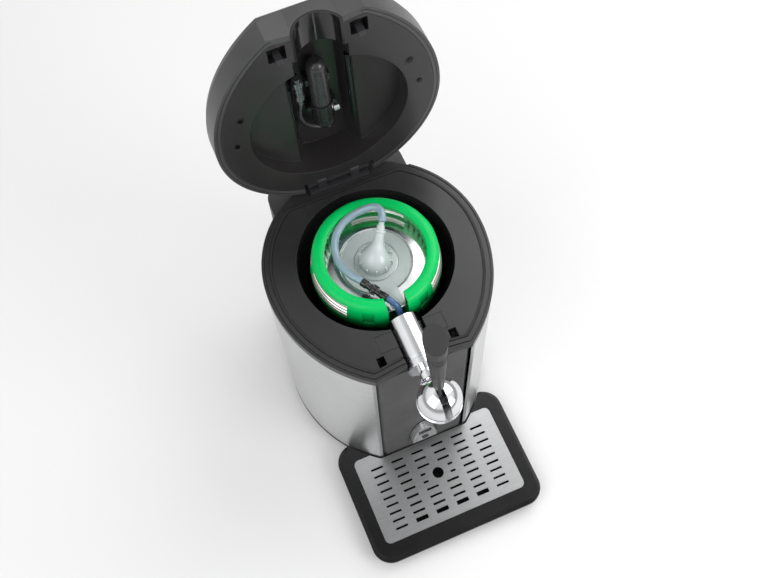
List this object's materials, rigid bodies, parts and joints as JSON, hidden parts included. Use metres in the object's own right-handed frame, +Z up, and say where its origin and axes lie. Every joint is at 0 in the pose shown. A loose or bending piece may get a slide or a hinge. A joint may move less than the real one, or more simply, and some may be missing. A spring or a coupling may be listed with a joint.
{
  "type": "mini keg beer dispenser",
  "caption": "Worktop drink cooler with an open domed lid, a green-ringed mini keg in its well, a ball tap with a lever and a slotted drip tray.",
  "frame": {"origin": "on the keg well's axis, at the worktop the foot ring stands on", "axes": "+Z up, the tap and the drip tray face -Y, +X to the right of a person facing the tap"},
  "size_m": [0.28, 0.4793, 0.6341],
  "materials": {
    "foot": "matt",
    "base": "matt",
    "steel": "brushed",
    "panel": "satin",
    "badge_dark": "gloss",
    "badge_silver": "silver paint",
    "display": "gloss",
    "button": "matt",
    "board": "solder mask",
    "supply": "plain",
    "deck": "satin",
    "seal": "matt",
    "cradle": "satin",
    "well": "satin",
    "foam": "foam",
    "alloy": "milled",
    "ceramic": "ceramic",
    "fan": "matt",
    "rear": "fine grain",
    "switch": "gloss",
    "bolts": "turned",
    "hinge": "satin",
    "pin": "ground",
    "lid": "satin",
    "liner": "satin",
    "tunnel": "gloss",
    "regulator": "satin",
    "sleeve": "satin",
    "dial": "bright",
    "coupler_metal": "turned",
    "gas_tube": "satin",
    "chrome": "polished",
    "blue_tube": "satin",
    "grip": "satin",
    "keg_steel": "lacquered",
    "drink": "clear amber",
    "keg_green": "gloss",
    "spout": "translucent",
    "clear_tube": "clear",
    "coupler": "gloss",
    "tray": "satin",
    "grille": "brushed"
  },
  "bodies": {
    "body": {"foot_ring": "foot", "base_pan": "base", "side_shell": "steel", "front_panel": "panel", "badge_surround": "badge_dark", "display_bezel": "badge_silver", "display_window": "display", "control_board": "board", "power_supply": "supply", "deck": "deck", "lid_seal": "seal", "tap_cradle": "cradle", "well_liner": "well", "well_foam": "foam", "cold_block": "alloy", "peltier_module": "ceramic", "heat_sink": "alloy", "fan_frame": "fan", "rear_housing": "rear", "vent_grille": "rear", "power_inlet": "switch", "deck_screws": "bolts", "hinge_bracket": "hinge", "hinge_pin": "pin", "tap_barrel": "chrome", "tap_flange": "chrome", "tap_neck": "chrome", "tap_collar": "chrome", "tap_ball": "chrome", "tap_spout": "chrome", "tap_feed": "blue_tube", "lever_pin": "pin"},
    "lid": {"lid_shell": "lid", "lid_liner": "liner", "lid_tunnel": "tunnel", "latch_hooks": "hinge", "hinge_leaf": "hinge", "liner_screws": "bolts", "gas_regulator": "regulator", "gas_cartridge": "sleeve", "regulator_clips": "regulator", "gas_coupler": "coupler_metal", "gas_hose": "gas_tube"},
    "keg": {"keg": "keg_steel", "keg_drink": "drink", "keg_ring": "keg_green", "keg_spout": "spout", "beer_line": "clear_tube", "line_coupler": "coupler", "feed_line": "blue_tube"},
    "dial": {"regulator_dial": "dial"},
    "lever": {"tap_lever": "grip"},
    "tray": {"drip_tray": "tray"},
    "grille": {"drip_grille": "grille"},
    "fan": {"fan_rotor": "fan"},
    "switch": {"power_switch": "switch"},
    "button": {"set_button": "button"}
  },
  "joints": [
    {"name": "lid_hinge", "type": "hinge", "parent": "body", "child": "lid", "pos_m": [0, 0.125, 0.3525], "axis": [-1, 0, 0], "range_deg": [-93, 0]},
    {"name": "regulator_dial_turn", "type": "hinge", "parent": "lid", "child": "dial", "pos_m": [0.0178, 0.15126, 0.45226], "axis": [1, 0, 0], "range_deg": [0, 270]},
    {"name": "tap_lever_pull", "type": "hinge", "parent": "body", "child": "lever", "pos_m": [0, -0.192, 0.326], "axis": [1, 0, 0], "range_deg": [0, 40]},
    {"name": "keg_lift", "type": "slide", "parent": "body", "child": "keg", "axis": [0, 0, 1], "range_m": [0, 0.28]},
    {"name": "tray_slide", "type": "slide", "parent": "body", "child": "tray", "axis": [0, -1, 0], "range_m": [0, 0.15]},
    {"name": "grille_lift", "type": "slide", "parent": "tray", "child": "grille", "axis": [0, 0, 1], "range_m": [0, 0.018]},
    {"name": "fan_spin", "type": "hinge", "parent": "body", "child": "fan", "pos_m": [0, 0.15, 0.205], "axis": [0, 1, 0], "continuous": true},
    {"name": "power_rocker", "type": "hinge", "parent": "body", "child": "switch", "pos_m": [0.0305, 0.155, 0.0475], "axis": [-1, 0, 0], "range_deg": [0, 20]},
    {"name": "set_press", "type": "slide", "parent": "body", "child": "button", "axis": [0, 1, 0], "range_m": [0, 0.0013], "stiffness_N_per_m": 200}
  ]
}
